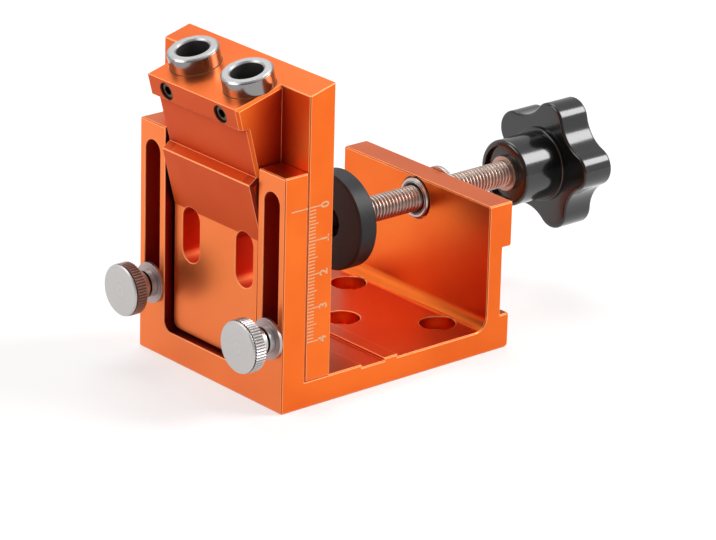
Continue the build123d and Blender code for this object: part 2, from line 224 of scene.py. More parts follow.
def orangeAluminium(look):
    material, tree, shader, place = startMaterial("orangeAluminium", {
        "Metallic": look["metallic"],
        "Coat Weight": look["coat"],
        "Coat Roughness": look["coatRough"],
    })
    grain = noise(tree, place, look["grain"])
    tintBetween(tree, shader, noise(tree, place, look["cloud"]), look["dark"], look["light"])
    facing = addNode(tree, "ShaderNodeSeparateXYZ", {"Vector": place.node.outputs["Normal"]}).outputs
    x, y, z = addNode(tree, "ShaderNodeSeparateXYZ", {"Vector": place}).outputs
    # painted sheen makes faces square to the front paler, painted shade darkens the floor of the channel
    square = times(tree, calculate(tree, "LESS_THAN", facing[1], -look["squareOn"]),
                   calculate(tree, "LESS_THAN", y, look["frontSheenLimit"]))
    blendTint(tree, shader, times(tree, square, look["frontSheenShare"]), look["frontSheen"])
    level = times(tree, calculate(tree, "GREATER_THAN", facing[2], look["squareOn"]),
                  calculate(tree, "LESS_THAN", z, look["floorTop"]))
    blendTint(tree, shader, times(tree, level, look["floorShadeShare"]), look["channelFloorShade"])
    # painted shade in the recesses of the front
    front = remap(tree, y, *look["frontPart"], 1.0, 0.0)
    shade = times(tree, recess(tree, *look["recess"]), front)
    outer = calculate(tree, "GREATER_THAN", calculate(tree, "ABSOLUTE", x), look["innerReach"])
    blendTint(tree, shader, times(tree, shade, outer), look["deepOuter"])
    inner = calculate(tree, "SUBTRACT", 1.0, outer)
    blendTint(tree, shader, times(tree, shade, inner), look["deepInner"])
    # painted shade in the chip slots, and a painted highlight on their round foot
    for label, kind in (("chipSlot", "chipSlotShade"), ("chipSlotFoot", "glint")):
        blendTint(tree, shader, times(tree, mark(tree, label), look[kind + "Share"]), look[kind])
    # painted shade: faces that lean over the table are darker than upright ones
    underShade = remap(tree, facing[2], *look["underFrom"], 0.0, look["underShare"])
    blendTint(tree, shader, underShade, look["underShade"])
    roughBetween(tree, shader, grain, *look["rough"])
    addRoughness(tree, shader, times(tree, underShade, look["underRough"]))
    # a painted highlight on rounded edges, painted shade on narrow chamfers
    for label, kind in (("edgeHighlight", "edge"), ("chamferStrip", "chamferShade")):
        found = mark(tree, label)
        blendTint(tree, shader, times(tree, found, look[kind + "Share"]), look[kind])
        addRoughness(tree, shader, times(tree, found, look[kind + "Rough"]))
    # painted shade in the narrow gap beside the window's walls
    blendTint(tree, shader, mark(tree, "windowWall"), look["windowGapShade"])
    # painted shade around the set screws' holes
    blendTint(tree, shader, times(tree, mark(tree, "screwRim"), look["rimShare"]), look["rim"])
    addRoughness(tree, shader, times(tree, shade, look["recessRough"]))
    bumpBy(tree, shader, grain, look["grainBump"], metalBump)
    return material


def turnedSteel(name, look, centre, tilt=0.0):
    material, tree, shader, place = startMaterial(name, {"Metallic": 1.0})
    rings, radius, along = turningMarks(tree, place, centre, tilt)
    marks = noise(tree, rings, look["marks"], 3.0)
    tintBetween(tree, shader, marks, look["dark"], look["light"])
    roughBetween(tree, shader, marks, *look["rough"])
    if "satinEnd" in look:
        # the end face is ground, so it is duller than the barrel, and the bore is duller too
        start, extra = look["satinEnd"]
        duller = times(tree, calculate(tree, "GREATER_THAN", along, start), extra)
        addRoughness(tree, shader, duller)
        # painted shade darkens the barrel
        barrelShade = times(tree, calculate(tree, "LESS_THAN", along, start), look["barrelShadeShare"])
        blendTint(tree, shader, barrelShade, look["barrelShade"])
        bore, extra = look["bore"]
        addRoughness(tree, shader, times(tree, calculate(tree, "LESS_THAN", radius, bore), extra))
    # painted shade in the piece's own recesses
    if "recess" in look:
        blendTint(tree, shader, recess(tree, *look["recess"]), look["deep"])
    if "mouth" in look:
        blendTint(tree, shader, calculate(tree, "LESS_THAN", radius, look["mouth"]), look["shadow"])
    bumpBy(tree, shader, marks, look["bump"], metalBump)
    return material


def blackPlastic(name, look):
    material, tree, shader, place = startMaterial(name, {
        "IOR": look["ior"],
        "Coat Weight": look["coat"],
        "Coat Roughness": look["coatRough"],
    })
    grain = noise(tree, place, look["grain"])
    tintBetween(tree, shader, grain, look["dark"], look["light"])
    roughBetween(tree, shader, noise(tree, place, look["smear"]), *look["rough"])
    bumpBy(tree, shader, grain, look["bump"], plasticBump)
    return material


def etchedMark(look):
    material, tree, shader, place = startMaterial("etchedMark", {"Metallic": 0.0})
    specks = noise(tree, place, look["specks"])
    tintBetween(tree, shader, specks, look["dark"], look["light"])
    roughBetween(tree, shader, specks, *look["rough"])
    bumpBy(tree, shader, specks, look["bump"], metalBump)
    return material


# recess: reach, openness where it is deepest, openness where it ends, for painted shade in a piece's recesses
# satinEnd and bore: where they start or end, and the roughness that they add
# the barrel's colour and its share are painted shade on the sleeves' barrels
sleeveFinish = {"dark": (0.37, 0.37, 0.37), "light": (0.47, 0.47, 0.47), "rough": (0.14, 0.22), "marks": 4000,
                "bump": 0.15, "satinEnd": (13.2 * mm, 0.22), "barrelShade": (0.16, 0.14, 0.14), "barrelShadeShare": 0.6,
                "bore": (4.9 * mm, 0.22)}
bushFinish = {"dark": (0.46, 0.42, 0.41), "light": (0.58, 0.55, 0.54), "rough": (0.24, 0.32), "marks": 4000,
              "bump": 0.1, "mouth": 4.75 * mm, "shadow": (0.04, 0.02, 0.015)}
satinSteel = {"dark": (0.50, 0.49, 0.48), "light": (0.62, 0.60, 0.59), "rough": (0.40, 0.48), "marks": 5000,
              "bump": 0.1, "deep": (0.05, 0.04, 0.04), "recess": (0.9 * mm, 0.6, 0.97)}
warmSteel = {"dark": (0.42, 0.32, 0.27), "light": (0.64, 0.53, 0.47), "rough": (0.34, 0.42), "marks": 3000,
             "bump": 0.1, "deep": (0.22, 0.14, 0.11), "recess": (1.2 * mm, 0.45, 0.9)}
blackSteel = {"dark": (0.030, 0.024, 0.020), "light": (0.14, 0.10, 0.07), "rough": (0.25, 0.40),
              "marks": 3000, "bump": 0.2}
# near black: the pad clip and clamp neck are black steel, darkened further as painted shade for the pad's
# recess
shadeBlackSteel = {"dark": (0.008, 0.007, 0.007), "light": (0.020, 0.018, 0.016), "rough": (0.45, 0.60),
              "marks": 3000, "bump": 0.2}
washerSteel = {"dark": (0.44, 0.36, 0.35), "light": (0.54, 0.45, 0.44), "rough": (0.35, 0.50),
               "marks": 4000, "bump": 0.2}
knobGloss = {"dark": (0.003, 0.003, 0.003), "light": (0.006, 0.006, 0.006), "rough": (0.15, 0.20),
             "grain": 900, "smear": 60, "bump": 0.03, "ior": 1.4, "coat": 0.6, "coatRough": 0.1}
padSatin = {"dark": (0.007, 0.007, 0.008), "light": (0.015, 0.015, 0.016), "rough": (0.42, 0.55),
            "grain": 3500, "smear": 90, "bump": 0.3, "ior": 1.4, "coat": 0.0, "coatRough": 0.1}
etching = {"dark": (1.0, 0.50, 0.25), "light": (1.0, 0.62, 0.36), "rough": (0.5, 0.7), "specks": 9000,
           "bump": 0.2}


def centreOf(node):
    low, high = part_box(node)
    return (low + high) / 2


drillTilt = radians(15)
lockCentre = centreOf("lock_washer_right")
rodCentre = centreOf("clamp_rod")
sleeveCentre = centreOf("drill_sleeve_right")

orange = orangeAluminium(anodised)
sleeveSteel = turnedSteel("sleeveSteel", sleeveFinish, sleeveCentre, -pi / 2 - drillTilt)
lockSteel = turnedSteel("lockSteel", satinSteel, lockCentre)
rodSteel = turnedSteel("rodSteel", warmSteel, rodCentre)
bushSteel = turnedSteel("bushSteel", bushFinish, rodCentre)
washerZinc = turnedSteel("washerZinc", washerSteel, lockCentre)
screwBlack = turnedSteel("screwBlack", blackSteel, centreOf("sleeve_set_screw_right"), -drillTilt)
neckBlack = turnedSteel("neckBlack", shadeBlackSteel, rodCentre)
knobPlastic = blackPlastic("knobPlastic", knobGloss)
padPlastic = blackPlastic("padPlastic", padSatin)
markPaint = etchedMark(etching)
print("materials made:", len(bpy.data.materials))


# Piece helpers
def newPiece(name, mesh):
    piece = bpy.data.objects.new(name, mesh)
    bpy.context.scene.collection.objects.link(piece)
    return piece


def freeze(piece):
    # the modifiers' result becomes the piece's own plain mesh
    evaluated = piece.evaluated_get(bpy.context.evaluated_depsgraph_get())
    mesh = bpy.data.meshes.new_from_object(evaluated)
    piece.modifiers.clear()
    piece.data = mesh
    return piece


def shadeByAngle(mesh, degrees):
    mesh.shade_smooth()
    mesh.set_sharp_from_angle(angle=radians(degrees))


def settle(piece, body, slotName, material, *nodes):
    piece.data.materials.clear()
    piece.data.materials.append(material)
    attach(piece, body)
    if nodes:
        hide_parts(*nodes)


edges = {
    "facet": radians(12),          # below this, two faces belong to one round form
    "crease": radians(28),         # below this, an edge is too shallow to round
    "sharp": radians(60),          # above this, an outer edge gets the whole rounding
    "part": 0.35,                  # the share of it that other edges get
    "bevelSteps": 2,
    "merge": 0.0005 * mm,
    "flat": radians(0.4),          # faces this close to one plane become one
    "chamferAngle": (radians(38), radians(52)),
    "chamferWidth": 0.6 * mm,
    "chamferShare": 0.6,           # of the outline, with a neighbour at that angle
}
plainFace, roundedFace, chamferFace = range(3)    # material slots that sort the faces until they are marked


def edgeShare(angle):
    # shallow creases get no rounding, outer edges the whole of it, inner edges and slanted ones a part
    if abs(angle) < edges["crease"]:
        return 0.0
    return 1.0 if angle > edges["sharp"] else edges["part"]


def isChamfer(face):
    # a narrow face whose long sides meet their neighbours at about 45 degrees
    low, high = edges["chamferAngle"]
    outline = face.calc_perimeter()
    slanted = sum(side.calc_length() for side in face.edges
                  if low < abs(side.calc_face_angle_signed(0)) < high)
    narrow = 2 * face.calc_area() / outline < edges["chamferWidth"]
    return narrow and slanted > edges["chamferShare"] * outline


def markFaces(mesh, label, chosen):
    # the material reads the label as an attribute
    marks = [float(chosen(face)) for face in mesh.polygons]
    mesh.attributes.new(label, "FLOAT", "FACE").data.foreach_set("value", marks)


def finishedCopy(node, name, slotName, material, edge):
    # a CAD node with its sharp edges rounded
    source = frame["nodes"][node]
    mesh = source.data.copy()
    mesh.materials.clear()
    for _ in (plainFace, roundedFace, chamferFace):
        mesh.materials.append(material)
    shape = bmesh.new()
    shape.from_mesh(mesh)
    bmesh.ops.remove_doubles(shape, verts=shape.verts, dist=edges["merge"])
    bmesh.ops.dissolve_limit(shape, angle_limit=edges["flat"], verts=shape.verts, edges=shape.edges)
    weights = shape.edges.layers.float.new("bevel_weight_edge")
    for side in shape.edges:
        angle = side.calc_face_angle_signed(0)
        side[weights] = edgeShare(angle)
        # creases too shallow to round stay sharp, the facets of round forms don't
        side.smooth = not edges["facet"] < abs(angle) < edges["crease"]
    for face in shape.faces:
        face.material_index = chamferFace if isChamfer(face) else plainFace
    shape.to_mesh(mesh)
    shape.free()
    if "custom_normal" in mesh.attributes:
        mesh.attributes.remove(mesh.attributes["custom_normal"])
    piece = newPiece(name, mesh)
    mesh.shade_smooth()
    bevel = piece.modifiers.new("edges", "BEVEL")
    bevel.material = roundedFace
    bevel.width = edge
    bevel.segments = edges["bevelSteps"]
    bevel.limit_method = "WEIGHT"
    bevel.use_clamp_overlap = False
    bevel.miter_outer = "MITER_ARC"
    bevel.harden_normals = True
    freeze(piece)
    # the rounded edges are marked for a painted highlight, the narrow chamfers for painted shade
    markFaces(piece.data, "edgeHighlight", lambda face: face.material_index == roundedFace)
    markFaces(piece.data, "chamferStrip", lambda face: face.material_index == chamferFace)
    piece.data.polygons.foreach_set("material_index", [plainFace] * len(piece.data.polygons))
    settle(piece, source["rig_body"], slotName, material, node)
    return piece


# node: name of the copy, slot, material and width of the rounded edges
finishes = {
    "base_frame": ("baseFrame", "orange_aluminium", orange, 0.28 * mm),
    "guide_block": ("guideBlock", "orange_aluminium", orange, 0.28 * mm),
    "drill_sleeve_left": ("drillSleeveLeft", "sleeve_steel", sleeveSteel, 0.2 * mm),
    "drill_sleeve_right": ("drillSleeveRight", "sleeve_steel", sleeveSteel, 0.2 * mm),
    "sleeve_set_screw_left": ("setScrewLeft", "set_screw_steel", screwBlack, 0.08 * mm),
    "sleeve_set_screw_right": ("setScrewRight", "set_screw_steel", screwBlack, 0.08 * mm),
    "lock_washer_left": ("lockWasherLeft", "washer_steel", washerZinc, 0.1 * mm),
    "lock_washer_right": ("lockWasherRight", "washer_steel", washerZinc, 0.1 * mm),
    "lock_screw_left": ("lockScrewLeft", "lock_screw_steel", lockSteel, 0.06 * mm),
    "lock_screw_right": ("lockScrewRight", "lock_screw_steel", lockSteel, 0.06 * mm),
    "thread_bush": ("threadBush", "clamp_steel", bushSteel, 0.25 * mm),
    "bush_lock_ring": ("bushLockRing", "clamp_steel", bushSteel, 0.2 * mm),
    "pad_clip": ("padClip", "clamp_steel", neckBlack, 0.08 * mm),
    "knob_insert": ("knobInsert", "clamp_steel", rodSteel, 0.1 * mm),
    "clamp_pad": ("clampPad", "pad_plastic", padPlastic, 0.3 * mm),
}
# boxes around the faces that are marked, given as |x|, y and z from and to: first the walls of the window and
# the guide's flanks beside them, which get painted shade for the narrow gap that they stand in
windowWalls = {
    "base_frame": ((-mm, 21.02 * mm), (-42.2 * mm, -34.3 * mm), (8.18 * mm, 80 * mm)),
    "guide_block": ((19.5 * mm, 20.25 * mm), (-50 * mm, -34.2 * mm), (48.5 * mm, 69.5 * mm)),
}
largestWall = 510 * mm * mm    # the whole flank of the guide block is larger and stays as it is
# painted shade around the set screws' holes reaches this far beyond the screw
rimMargin = 0.75 * mm
screwLow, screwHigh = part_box("sleeve_set_screw_right")
screwRims = [(low - rimMargin, high + rimMargin) for low, high in zip(screwLow, screwHigh)]
chipSlots = ((8.0 * mm, 16.0 * mm), (-44.0 * mm, -31.0 * mm), (31.0 * mm, 48.7 * mm))
slotMouth = 0.9                # faces turned further to the front than this are outside the slot
footFacing = (0.72, 0.36)      # upward share of the normal where the painted highlight on the foot is strongest, and how far that fades


def within(face, *ranges):
    x, y, z = face.center
    return all(low < value < high for value, (low, high) in zip((abs(x), y, z), ranges))


def footLight(face):
    # painted highlight on the round foot of a chip slot, strongest where it faces up and sideways alike
    lightest, fade = footFacing
    return within(face, *chipSlots) * max(0.0, 1 - abs(face.normal.z - lightest) / fade)


for node, (name, slotName, material, edge) in finishes.items():
    piece = finishedCopy(node, name, slotName, material, edge)
    if node in windowWalls:
        ranges = windowWalls[node]
        markFaces(piece.data, "windowWall",
                  lambda face: within(face, *ranges) and face.area < largestWall)
    if node == "guide_block":
        # marks for painted shade in the chip slots, a painted highlight on their feet and painted shade
        # around the set screws
        markFaces(piece.data, "chipSlot",
                  lambda face: within(face, *chipSlots) and abs(face.normal.y) < slotMouth)
        markFaces(piece.data, "chipSlotFoot", footLight)
        markFaces(piece.data, "screwRim", lambda face: within(face, *screwRims))
print("finished copies:", len(finishes))


# Geometry Nodes helpers
def newTree(name, inputs):
    # inputs: label to value, where a whole number gets an integer socket
    tree = bpy.data.node_groups.new(name, "GeometryNodeTree")
    tree.interface.new_socket("Geometry", in_out="OUTPUT", socket_type="NodeSocketGeometry")
    entry = tree.nodes.new("NodeGroupInput")
    for label, value in inputs.items():
        kind = "NodeSocketInt" if isinstance(value, int) else "NodeSocketFloat"
        socket = tree.interface.new_socket(label, in_out="INPUT", socket_type=kind)
        socket.default_value = value
    return tree, entry.outputs


def endTree(tree, geometry, material):
    whole = addNode(tree, "GeometryNodeRealizeInstances", {"Geometry": geometry}).outputs[0]
    painted = addNode(tree, "GeometryNodeSetMaterial", {"Geometry": whole, "Material": material}).outputs[0]
    addNode(tree, "NodeGroupOutput", {0: painted})


def runTree(name, tree, values):
    # the values are set on the modifier by each socket's identifier
    piece = newPiece(name, bpy.data.meshes.new(name))
    modifier = piece.modifiers.new(tree.name, "NODES")
    modifier.node_group = tree
    for item in tree.interface.items_tree:
        if item.in_out == "INPUT" and item.name in values:
            modifier[item.identifier] = values[item.name]
    return freeze(piece)


# The scale: ticks and numerals on the guide's end face, and the index line on the base
scale = {
    "top": 59.7 * mm,          # height of the zero tick
    "step": 1.0 * mm,
    "steps": 40,
    "halfEvery": 5,
    "longEvery": 10,
    "numerals": 5,
    "shortTick": 2.4 * mm,
    "halfTick": 3.3 * mm,
    "longTick": 4.2 * mm,
    "width": 0.38 * mm,
    "thickness": 0.03 * mm,
    "plateFront": -34.1 * mm,  # front edge of the guide's end face
    "margin": 0.3 * mm,
    "numeralSize": 3.9 * mm,
    "numeralStroke": 0.08 * mm,   # added to each side of the font's strokes
    "footLength": 2.1 * mm,
    "numeralCentre": -28.05 * mm,
    "indexStart": -40.1 * mm,
    "indexEnd": -34.3 * mm,
}
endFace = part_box("guide_block")[1].x


def scaleTree(inputs):
    tree, given = newTree("scaleTicks", inputs)
    count = calculate(tree, "ADD", given["Steps"], 1)
    down = combine(tree, z=times(tree, given["Step"], -1))
    line = addNode(tree, "GeometryNodeMeshLine", {"Count": count, "Offset": down}).outputs[0]
    index = addNode(tree, "GeometryNodeInputIndex").outputs[0]

    def everyFew(steps):
        return calculate(tree, "LESS_THAN", calculate(tree, "MODULO", index, steps), 0.5)

    def choose(factor, otherwise, chosen):
        mix = addNode(tree, "ShaderNodeMix", {0: factor, 2: otherwise, 3: chosen}, data_type="FLOAT")
        return mix.outputs[0]

    shorter = choose(everyFew(scale["halfEvery"]), given["Short"], given["Half"])
    length = choose(everyFew(scale["longEvery"]), shorter, given["Long"])
    size = combine(tree, given["Thickness"], length, given["Width"])
    block = addNode(tree, "GeometryNodeMeshCube", {"Size": (1, 1, 1)}).outputs[0]
    # the block starts at its point and runs back from it
    moved = addNode(tree, "GeometryNodeTransform", {"Geometry": block, "Translation": (0, 0.5, 0)})
    placing = {"Points": line, "Instance": moved.outputs[0], "Scale": size}
    ticks = addNode(tree, "GeometryNodeInstanceOnPoints", placing)
    endTree(tree, ticks.outputs[0], markPaint)
    return tree


def addFoot(mesh):
    # a bar under the numeral 1
    low = min(vertex.co.y for vertex in mesh.vertices)
    shape = bmesh.new()
    shape.from_mesh(mesh)
    bar = bmesh.ops.create_cube(shape, size=1)["verts"]
    size = Matrix.Diagonal((scale["footLength"], scale["width"], scale["thickness"], 1))
    bmesh.ops.transform(shape, verts=bar, matrix=Matrix.Translation((0, low, 0)) @ size)
    shape.to_mesh(mesh)
    shape.free()


def numeral(digit):
    text = bpy.data.curves.new(f"numeral{digit}", "FONT")
    text.body = str(digit)
    text.size = scale["numeralSize"]
    text.align_x = "CENTER"
    text.align_y = "CENTER"
    text.extrude = scale["thickness"] / 2
    text.offset = scale["numeralStroke"]
    holder = newPiece(f"numeral{digit}", text)
    mesh = bpy.data.meshes.new_from_object(holder.evaluated_get(bpy.context.evaluated_depsgraph_get()))
    bpy.data.objects.remove(holder)
    if digit == 1:
        addFoot(mesh)
    # read upwards on the end face: the digit's right is up and its top points to the front
    turn = Matrix(((0, 0, 1, 0), (0, -1, 0, 0), (1, 0, 0, 0), (0, 0, 0, 1)))
    mesh.transform(turn)
    return mesh


def makeScale():
    inputs = {
        "Steps": scale["steps"],
        "Step": scale["step"],
        "Short": scale["shortTick"],
        "Half": scale["halfTick"],
        "Long": scale["longTick"],
        "Width": scale["width"],
        "Thickness": scale["thickness"],
    }
    ticks = runTree("scaleTicks", scaleTree(inputs), inputs)
    ticks.data.transform(Matrix.Translation((endFace, scale["plateFront"] + scale["margin"], scale["top"])))
    settle(ticks, "guide", "orange_aluminium", markPaint)
    for digit in range(scale["numerals"]):
        mesh = numeral(digit)
        height = scale["top"] - scale["longEvery"] * digit * scale["step"]
        mesh.transform(Matrix.Translation((endFace, scale["numeralCentre"], height)))
        settle(newPiece(f"scaleNumeral{digit}", mesh), "guide", "orange_aluminium", markPaint)
    shape = bmesh.new()
    bmesh.ops.create_cube(shape, size=1)
    middle = (scale["indexStart"] + scale["indexEnd"]) / 2
    size = (scale["thickness"], scale["indexEnd"] - scale["indexStart"], scale["width"])
    place = Matrix.Translation((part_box("base_frame")[1].x, middle, scale["top"]))
    bmesh.ops.transform(shape, verts=shape.verts, matrix=place @ Matrix.Diagonal((*size, 1)))
    mesh = bpy.data.meshes.new("indexLine")
    shape.to_mesh(mesh)
    shape.free()
    settle(newPiece("indexLine", mesh), "base", "orange_aluminium", markPaint)


makeScale()
print("scale made")


# Turned forms
def lathe(name, profile, around):
    # profile: (radius, along) pairs from one pole to the other, turned about Y
    shape = bmesh.new()
    rings = []
    for radius, along in profile:
        if radius == 0:
            rings.append([shape.verts.new((0, along, 0))] * around)
            continue
        ring = []
        for number in range(around):
            angle = tau * number / around
            ring.append(shape.verts.new((radius * cos(angle), along, radius * sin(angle))))
        rings.append(ring)
    for lower, upper in zip(rings, rings[1:]):
        for number in range(around):
            after = (number + 1) % around
            corners = [lower[number], upper[number], upper[after], lower[after]]
            face = list(dict.fromkeys(corners))
            if len(face) > 2:
                shape.faces.new(face)
    bmesh.ops.recalc_face_normals(shape, faces=shape.faces)
    mesh = bpy.data.meshes.new(name)
    shape.to_mesh(mesh)
    shape.free()
    return mesh


# The clamp screw: a helical thread from the pad's shoulder to the knob
clampScrew = {
    "radius": 3.9 * mm,
    "depth": 0.62 * mm,
    "pitch": 1.25 * mm,
    "rows": 8,                # rows of vertices for each turn of the thread
    "around": 48,
    "flanks": (0.08, 0.42),   # where a flank starts and ends, from root to crest, in turns
    "leadIn": 0.9 * mm,
    "padGap": 0.1 * mm,
    "neckRadius": 2.5 * mm,
    "neckAround": 64,
    "grooveRadius": 1.9 * mm,
    "tipEdge": 0.35 * mm,
    "weld": 0.002 * mm,
    "degenerate": 0.001 * mm,
    "sharpAngle": 60,
}


def threadTree(inputs):
    # a grid rolled into a tube whose rows climb by one pitch each turn, so crests and roots follow the rows
    tree, given = newTree("clampThread", inputs)
    turns = calculate(tree, "CEIL", calculate(tree, "DIVIDE", given["Length"], given["Pitch"]))
    turns = calculate(tree, "ADD", turns, 2)
    rows = times(tree, turns, given["Rows"])
    grid = addNode(tree, "GeometryNodeMeshGrid", {
        "Size X": 1.0,
        "Size Y": rows,
        "Vertices X": calculate(tree, "ADD", given["Around"], 1),
        "Vertices Y": calculate(tree, "ADD", rows, 1),
    }).outputs[0]
    place = addNode(tree, "GeometryNodeInputPosition").outputs[0]
    across, along, _ = addNode(tree, "ShaderNodeSeparateXYZ", {"Vector": place}).outputs
    share = calculate(tree, "ADD", across, 0.5)
    row = calculate(tree, "ROUND", calculate(tree, "ADD", along, times(tree, rows, 0.5)))
    turn = calculate(tree, "DIVIDE", row, given["Rows"])
    climb = calculate(tree, "SUBTRACT", calculate(tree, "ADD", turn, share), 1.5)
    free = times(tree, climb, given["Pitch"])
    wave = calculate(tree, "PINGPONG", turn, 0.5)
    flank = remap(tree, wave, *clampScrew["flanks"], interpolation_type="SMOOTHSTEP")
    toEnd = calculate(tree, "MINIMUM", free, calculate(tree, "SUBTRACT", given["Length"], free))
    fade = remap(tree, toEnd, 0.0, given["Lead in"])
    root = calculate(tree, "SUBTRACT", given["Radius"], given["Depth"])
    crest = times(tree, calculate(tree, "MINIMUM", flank, fade), given["Depth"])
    radius = calculate(tree, "ADD", root, crest)
    held = calculate(tree, "MAXIMUM", calculate(tree, "MINIMUM", free, given["Length"]), 0.0)
    angle = times(tree, share, tau)
    position = combine(
        tree,
        times(tree, radius, calculate(tree, "COSINE", angle)),
        calculate(tree, "ADD", held, given["Start"]),
        times(tree, radius, calculate(tree, "SINE", angle)),
    )
    rolled = addNode(tree, "GeometryNodeSetPosition", {"Geometry": grid, "Position": position}).outputs[0]
    seam = {"Geometry": rolled, "Distance": clampScrew["weld"]}
    closed = addNode(tree, "GeometryNodeMergeByDistance", seam).outputs[0]
    endTree(tree, closed, rodSteel)
    return tree


def closeEnds(mesh):
    # degenerate faces go, the open ends get caps and the faces point outwards
    shape = bmesh.new()
    shape.from_mesh(mesh)
    bmesh.ops.dissolve_degenerate(shape, edges=shape.edges, dist=clampScrew["degenerate"])
    openEdges = [edge for edge in shape.edges if edge.is_boundary]
    bmesh.ops.holes_fill(shape, edges=openEdges)
    bmesh.ops.recalc_face_normals(shape, faces=shape.faces)
    shape.to_mesh(mesh)
    shape.free()


def makeClampScrew():
    low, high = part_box("clamp_rod")
    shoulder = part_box("clamp_pad")[1].y + clampScrew["padGap"]
    inputs = {
        "Radius": clampScrew["radius"],
        "Depth": clampScrew["depth"],
        "Pitch": clampScrew["pitch"],
        "Start": shoulder,
        "Length": high.y - shoulder,
        "Lead in": clampScrew["leadIn"],
        "Rows": clampScrew["rows"],
        "Around": clampScrew["around"],
    }
    thread = runTree("clampThread", threadTree(inputs), inputs)
    closeEnds(thread.data)
    neck, groove = clampScrew["neckRadius"], clampScrew["grooveRadius"]
    clipLow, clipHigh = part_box("pad_clip")
    tipEdge = clampScrew["tipEdge"]
    neckMesh = lathe("clampNeck", [
        (0, low.y),
        (neck - tipEdge, low.y),
        (neck, low.y + tipEdge),
        (neck, clipLow.y),
        (groove, clipLow.y),
        (groove, clipHigh.y),
        (neck, clipHigh.y),
        (neck, shoulder + tipEdge),
        (0, shoulder + tipEdge),
    ], clampScrew["neckAround"])
    for mesh in (thread.data, neckMesh):
        mesh.transform(Matrix.Translation((0, 0, (low.z + high.z) / 2)))
        shadeByAngle(mesh, clampScrew["sharpAngle"])
    settle(thread, "clamp_screw", "clamp_steel", rodSteel, "clamp_rod")
    settle(newPiece("clampNeck", neckMesh), "clamp_screw", "clamp_steel", neckBlack)
    print("clamp screw:", len(thread.data.polygons), "faces")


makeClampScrew()


# The star knob: rings from the rear face over the star, the collar and the hub into its bore
starKnob = {
    "lobes": 5,
    "turn": radians(5.8),
    "tipRadius": 20.0 * mm,
    "lobeRadius": 6.0 * mm,
    "valleyRadius": 15.2 * mm,
    "arcSteps": 20,
    "frontRound": 0.8 * mm,
    "rearRound": 1.0 * mm,
    "thickness": 11.0 * mm,
    "hubRadius": 10.1 * mm,
    "hubLength": 13.4 * mm,
    "hubRound": 1.0 * mm,
    "hubRecess": 8.4 * mm,
    "recessDepth": 1.2 * mm,
    "boreRadius": 5.35 * mm,
    "collarRadius": 11.3 * mm,
    "collarLength": 1.15 * mm,
    "collarRound": 0.4 * mm,
    "roundSteps": 6,
    "sharpAngle": 40,
}


def starPoints(inset):
    # lobe and valley arcs keep their centres and stay tangent, whatever the inset
    k = starKnob
    half = pi / k["lobes"]      # angle from the middle of a lobe to the middle of the next valley
    lobeReach = k["tipRadius"] - k["lobeRadius"]
    swing = 2 * lobeReach * cos(half)
    upper = lobeReach**2 + k["valleyRadius"]**2 - swing * k["valleyRadius"] - k["lobeRadius"]**2
    valleyArc = upper / (2 * k["lobeRadius"] - 2 * k["valleyRadius"] + swing)
    valleyReach = k["valleyRadius"] + valleyArc
    points = []
    for lobe in range(k["lobes"]):
        middle = 2 * half * lobe
        lobeCentre = Vector((lobeReach * cos(middle), lobeReach * sin(middle)))
        gap = middle + half
        valleyCentre = Vector((valleyReach * cos(gap), valleyReach * sin(gap)))
        toValley = valleyCentre - lobeCentre
        sweep = toValley.angle_signed(lobeCentre)      # from the arc's end back to the lobe's middle
        reach = abs(sweep)
        for step in range(k["arcSteps"]):
            angle = middle - reach + 2 * reach * step / k["arcSteps"]
            radius = k["lobeRadius"] - inset
            points.append(lobeCentre + radius * Vector((cos(angle), sin(angle))))
        turnBack = reach - half
        for step in range(k["arcSteps"]):
            angle = gap + pi + turnBack - 2 * turnBack * step / k["arcSteps"]
            radius = valleyArc + inset
            points.append(valleyCentre + radius * Vector((cos(angle), sin(angle))))
    spin = Matrix.Rotation(k["turn"], 2)
    return [spin @ point for point in points]


def circlePoints(radius, directions):
    return [radius * point.normalized() for point in directions]


def quarter(steps):
    # the angles of a quarter round
    return [pi / 2 * step / steps for step in range(steps + 1)]


def knobRings(start):
    k = starKnob
    hubRear = start + k["hubLength"]
    starFront = hubRear + k["collarLength"]
    starRear = starFront + k["thickness"]
    outline = starPoints(0)
    rings = []
    steps = quarter(k["roundSteps"])

    def star(inset, along):
        rings.append((starPoints(inset), along))

    def ring(radius, along):
        rings.append((circlePoints(radius, outline), along))

    for angle in steps:
        star(k["rearRound"] * (1 - sin(angle)), starRear - k["rearRound"] * (1 - cos(angle)))
    for angle in steps:
        star(k["frontRound"] * (1 - cos(angle)), starFront + k["frontRound"] * (1 - sin(angle)))
    ring(k["collarRadius"], starFront)
    for angle in steps:
        ring(k["collarRadius"] - k["collarRound"] * (1 - cos(angle)),
             hubRear + k["collarRound"] * (1 - sin(angle)))
    ring(k["hubRadius"], hubRear)
    for angle in steps:
        ring(k["hubRadius"] - k["hubRound"] * (1 - cos(angle)), start + k["hubRound"] * (1 - sin(angle)))
    ring(k["hubRecess"], start)
    ring(k["hubRecess"], start + k["recessDepth"])
    ring(k["boreRadius"], start + k["recessDepth"])
    ring(k["boreRadius"], starFront)
    return rings


